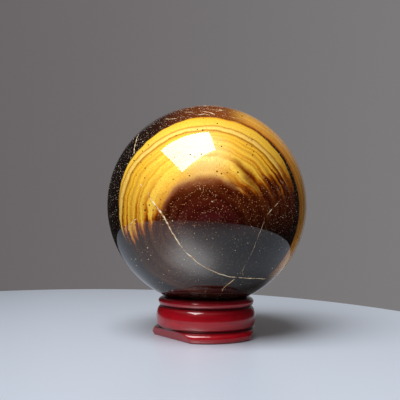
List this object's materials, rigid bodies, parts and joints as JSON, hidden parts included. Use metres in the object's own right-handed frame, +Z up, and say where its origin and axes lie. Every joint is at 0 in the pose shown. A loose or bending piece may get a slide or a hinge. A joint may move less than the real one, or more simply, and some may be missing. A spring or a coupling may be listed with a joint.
{
  "type": "gemstone sphere on ring stand",
  "caption": "Polished banded tiger's eye sphere resting in the hollow seat of a low turned wooden ring stand with red lacquer, made to stand on a table as an ornament",
  "frame": {"origin": "on the table surface, under the middle of the sphere and of the ring stand", "axes": "+Z up along the ring's axis, -Y towards the viewer of the picture, +X to the viewer's right"},
  "size_m": [0.06, 0.06, 0.0689],
  "materials": {
    "stone": "mirror polish over gold and dark brown chatoyant bands",
    "lacquered_wood": "glossy red lacquer"
  },
  "bodies": {
    "root": {"stone_sphere": "stone", "ring_stand": "lacquered_wood"}
  },
  "joints": []
}
